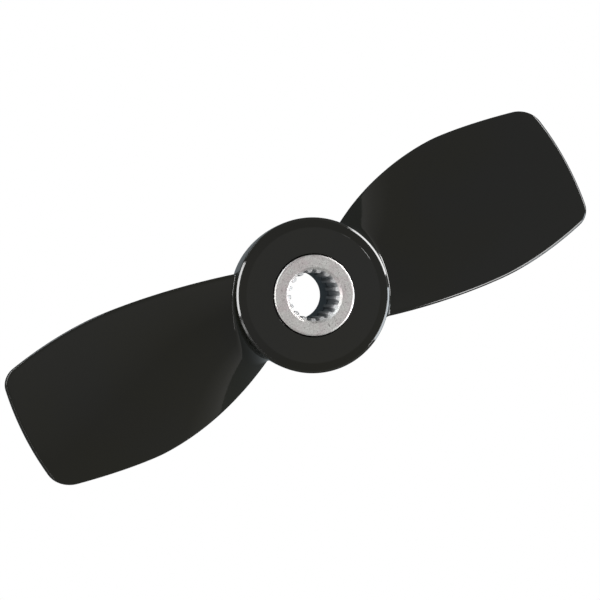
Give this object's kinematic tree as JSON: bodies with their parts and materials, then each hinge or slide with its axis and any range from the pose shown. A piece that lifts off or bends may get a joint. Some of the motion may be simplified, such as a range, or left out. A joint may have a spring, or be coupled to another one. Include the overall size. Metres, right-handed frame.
{
  "type": "marine propeller",
  "caption": "Fixed left-hand boat propeller: cast hub with two integral helical blades on a splined steel sleeve held in a rubber torsion bush.",
  "frame": {"origin": "on the bore axis, in the plane of the hub's aft face, which the propeller rests on", "axes": "+Z along the bore axis towards the forward (drive leg) face, +X along one blade's centreline, +Y by the right-hand rule, towards that blade's trailing edge"},
  "size_m": [0.381, 0.1044, 0.0691],
  "materials": {
    "black_paint": "gloss black paint over cast aluminium",
    "shell_steel": "turned steel, satin",
    "black_rubber": "moulded rubber, matt",
    "machined_steel": "machined and broached steel, matt grey"
  },
  "bodies": {
    "propeller": {"propeller_casting": "black_paint", "bush_shell": "shell_steel", "rubber_bush": "black_rubber"},
    "sleeve": {"splined_sleeve": "machined_steel"}
  },
  "joints": [
    {"name": "bush_twist", "type": "hinge", "parent": "propeller", "child": "sleeve", "pos_m": [0, 0, 0], "axis": [0, 0, 1], "range_deg": [-7, 7], "stiffness_Nm_per_rad": 40, "deforming": ["rubber_bush"]}
  ]
}
